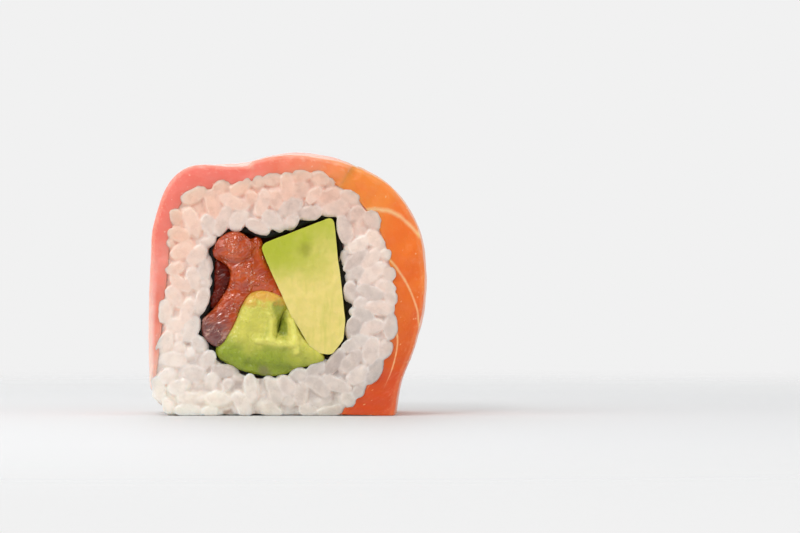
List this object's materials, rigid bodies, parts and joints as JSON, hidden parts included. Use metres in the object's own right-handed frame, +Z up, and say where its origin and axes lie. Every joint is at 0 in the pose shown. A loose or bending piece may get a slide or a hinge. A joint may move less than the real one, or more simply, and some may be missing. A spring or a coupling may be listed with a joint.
{
  "type": "rainbow roll",
  "caption": "Cut piece of inside-out sushi roll: rice round a nori sleeve filled with avocado and fish, wrapped in slanting slices of tuna, avocado and salmon, standing on its flat base.",
  "frame": {"origin": "centre of the footprint of the bounding box, on the surface that the piece stands on", "axes": "+Z up, +X to the right as seen from the front, the roll's axis along Y with the front cut face looking along -Y"},
  "size_m": [0.0472, 0.0256, 0.0444],
  "materials": {
    "cooked_rice": "moist translucent white grains of cooked sushi rice",
    "nori": "thin blackish green dried seaweed, slightly wrinkled",
    "avocado": "soft buttery flesh, green at the skin side and pale yellow at the stone side",
    "filling_salmon": "moist raw salmon, cut across the fibres, with silvery membrane",
    "filling_tuna": "moist dark red raw tuna",
    "tuna": "moist thin slice of coral pink raw tuna with fine fibres",
    "salmon": "moist slice of orange raw salmon with thin pale lines of fat"
  },
  "bodies": {
    "root": {"rice": "cooked_rice", "nori": "nori", "avocado_wedge": "avocado", "avocado_fold": "avocado", "salmon_lobe": "filling_salmon", "salmon_back": "filling_salmon", "tuna_strip": "filling_tuna", "tuna_topping": "tuna", "avocado_topping": "avocado", "salmon_topping": "salmon"}
  },
  "joints": []
}
